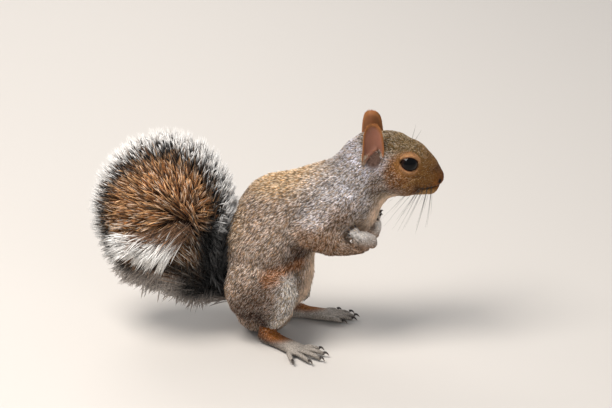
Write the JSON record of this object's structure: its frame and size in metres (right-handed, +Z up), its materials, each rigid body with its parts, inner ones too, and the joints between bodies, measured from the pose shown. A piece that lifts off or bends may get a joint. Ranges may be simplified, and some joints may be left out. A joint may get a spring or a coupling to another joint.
{
  "type": "grey squirrel",
  "caption": "Life-size still model of a grey squirrel sitting on its haunches, hands drawn in to the chest and bushy tail curled up behind its back.",
  "frame": {"origin": "on the floor, under the middle of the model's overall box", "axes": "+X from the tail towards the nose, +Y towards the animal's left side, +Z up"},
  "size_m": [0.2852, 0.117, 0.1884],
  "materials": {
    "coat_body": "grey-brown fur over skin",
    "coat_head": "short brown fur over skin",
    "coat_limbs": "grey-brown fur over skin",
    "coat_feet": "short pale fur over skin",
    "coat_tail": "long soft banded hair",
    "ear": "thin, nearly bare skin",
    "eye": "glossy black-brown glass eye",
    "claw": "dark polished horn"
  },
  "bodies": {
    "root": {"head": "coat_head", "neck": "coat_body", "trunk": "coat_body", "thigh_right": "coat_limbs", "shank_right": "coat_limbs", "foot_right": "coat_feet", "upper_arm_right": "coat_limbs", "forearm_right": "coat_limbs", "hand_right": "coat_feet", "ear_right": "ear", "eye_right": "eye", "claw_foot_right_1": "claw", "claw_foot_right_2": "claw", "claw_foot_right_3": "claw", "claw_foot_right_4": "claw", "claw_foot_right_5": "claw", "claw_hand_right_1": "claw", "claw_hand_right_2": "claw", "claw_hand_right_3": "claw", "claw_hand_right_4": "claw", "thigh_left": "coat_limbs", "shank_left": "coat_limbs", "foot_left": "coat_feet", "upper_arm_left": "coat_limbs", "forearm_left": "coat_limbs", "hand_left": "coat_feet", "ear_left": "ear", "eye_left": "eye", "claw_foot_left_1": "claw", "claw_foot_left_2": "claw", "claw_foot_left_3": "claw", "claw_foot_left_4": "claw", "claw_foot_left_5": "claw", "claw_hand_left_1": "claw", "claw_hand_left_2": "claw", "claw_hand_left_3": "claw", "claw_hand_left_4": "claw", "tail_base": "coat_tail", "tail_middle": "coat_tail", "tail_tip": "coat_tail"}
  },
  "joints": []
}
